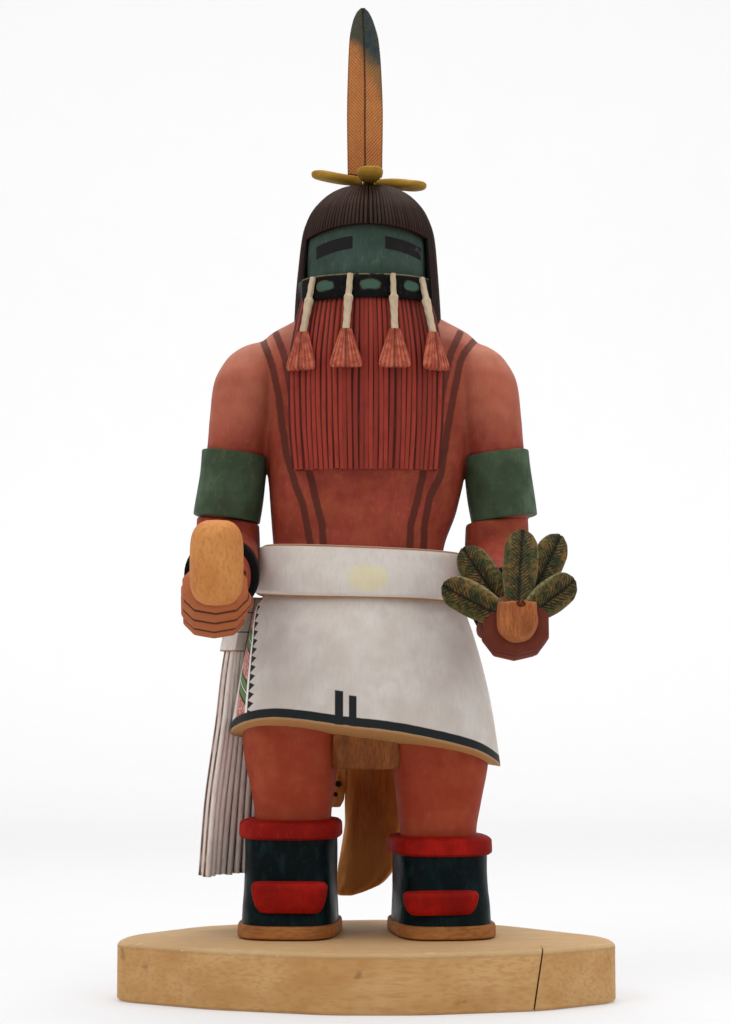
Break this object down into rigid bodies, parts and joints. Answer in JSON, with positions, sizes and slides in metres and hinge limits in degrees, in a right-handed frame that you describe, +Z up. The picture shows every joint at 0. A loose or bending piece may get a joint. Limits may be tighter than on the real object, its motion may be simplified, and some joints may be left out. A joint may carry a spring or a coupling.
{
  "type": "kachina doll",
  "caption": "Carved and painted wooden figure in a case mask with long hair and beard, holding a gourd rattle and an evergreen sprig, glued to an irregular slab.",
  "frame": {"origin": "centre of the slab's flat underside", "axes": "+Z up, the figure faces -Y, and its left hand is at +X"},
  "size_m": [0.154, 0.1006, 0.3243],
  "materials": {
    "bare_wood": "bare sanded cottonwood, pale tan with fine grain, smudges and a drying crack",
    "painted_figure": "matt mineral paint on carved wood: rust red body, green mask and arm bands, dark hair, brick beard, off-white kilt, dark green boots",
    "painted_skin": "matt rust red paint, worn to orange wood on the edges",
    "gourd": "smooth waxed orange wood",
    "leaf_paint": "dark olive paint over fine carved veins, rubbed back to yellow",
    "feather_paint": "matt orange paint with a dark teal tip and a dark shaft",
    "petal_paint": "matt ochre yellow paint",
    "down_paint": "matt coral paint with brown lines, under a cream painted string",
    "sash_paint": "matt pinkish white paint with brown lines between the cords",
    "fox_wood": "bare brown wood, lightly stained"
  },
  "bodies": {
    "root": {"base": "bare_wood", "figure": "painted_figure", "right_forearm": "painted_skin", "left_forearm": "painted_skin", "rattle": "gourd", "sprig_stem": "gourd", "sprig_leaf_1": "leaf_paint", "sprig_leaf_2": "leaf_paint", "sprig_leaf_3": "leaf_paint", "sprig_leaf_4": "leaf_paint", "sprig_leaf_5": "leaf_paint", "head_feather": "feather_paint", "petal_front": "petal_paint", "petal_right": "petal_paint", "petal_back": "petal_paint", "petal_left": "petal_paint", "beard_feather_1": "down_paint", "beard_feather_2": "down_paint", "beard_feather_3": "down_paint", "beard_feather_4": "down_paint", "sash": "sash_paint", "fox_skin": "fox_wood"}
  },
  "joints": []
}
